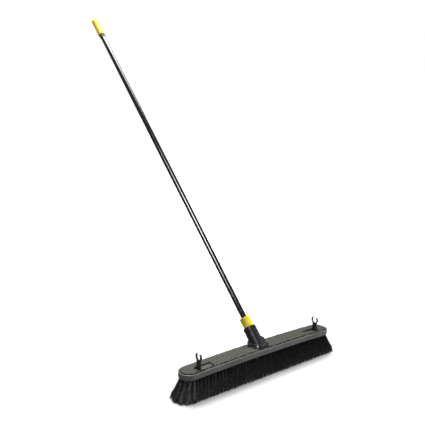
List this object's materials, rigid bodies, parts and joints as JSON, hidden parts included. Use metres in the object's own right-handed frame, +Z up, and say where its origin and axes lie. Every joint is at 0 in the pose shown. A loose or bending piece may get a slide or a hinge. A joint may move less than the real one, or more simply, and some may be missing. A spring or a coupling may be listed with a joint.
{
  "type": "push broom",
  "caption": "Push broom: long stadium-shaped block with flared dark bristles, fold-down tube clips and a steel handle held in an angled socket by a collar nut.",
  "frame": {"origin": "on the floor at the bristle tips, under the middle of the block", "axes": "+X along the block to its right-hand end, +Y the side the handle leans to (the user's side), +Z up from the floor"},
  "size_m": [0.658, 1.1213, 1.2033],
  "materials": {
    "block": "moulded structural-foam resin, satin side band",
    "cover": "matt textured olive-grey resin",
    "socket": "polished black moulded plastic",
    "screws": "zinc-plated steel",
    "bristles": "black crimped polypropylene fibre, flagged tips",
    "staples": "flat anchor wire",
    "clips": "black spring plastic",
    "pins": "drawn steel wire pin",
    "tube": "black powder coat with a satin gloss",
    "tip": "black nylon",
    "rivet": "steel rivet",
    "collar": "yellow moulded plastic",
    "ring": "spring steel push ring",
    "grip": "yellow moulded plastic",
    "grip_ring": "black rubbery plastic"
  },
  "bodies": {
    "head": {"block_body": "block", "top_cover": "cover", "handle_socket": "socket", "socket_screws": "screws", "tufts_front": "bristles", "tufts_front_inner": "bristles", "tufts_centre": "bristles", "tufts_back_inner": "bristles", "tufts_back": "bristles", "tufts_left_end": "bristles", "tufts_right_end": "bristles", "tuft_staples": "staples", "clip_pin_left": "pins", "clip_pin_right": "pins"},
    "clip_left_body": {"clip_left": "clips"},
    "clip_right_body": {"clip_right": "clips"},
    "handle": {"handle_tube": "tube", "handle_tip": "tip", "tip_rivet": "rivet", "collar_ring": "ring", "hand_grip": "grip", "grip_ring": "grip_ring"},
    "collar": {"locking_collar": "collar"}
  },
  "joints": [
    {"name": "clip_left_fold", "type": "hinge", "parent": "head", "child": "clip_left_body", "pos_m": [-0.246, -0.011, 0.08553], "axis": [0, 1, 0], "range_deg": [0, 88]},
    {"name": "clip_right_fold", "type": "hinge", "parent": "head", "child": "clip_right_body", "pos_m": [0.246, -0.011, 0.08553], "axis": [0, -1, 0], "range_deg": [0, 88]},
    {"name": "handle_draw", "type": "slide", "parent": "head", "child": "handle", "axis": [0, 0.6934, 0.7206], "range_m": [0, 0.0254]},
    {"name": "collar_turn", "type": "hinge", "parent": "handle", "child": "collar", "pos_m": [0, 0.05978, 0.14692], "axis": [0, 0.6934, 0.7206], "range_deg": [0, 1800]}
  ],
  "couplings": [
    {"joint": "collar_turn", "follows": "handle_draw", "rad_per_m": 1236.8}
  ]
}
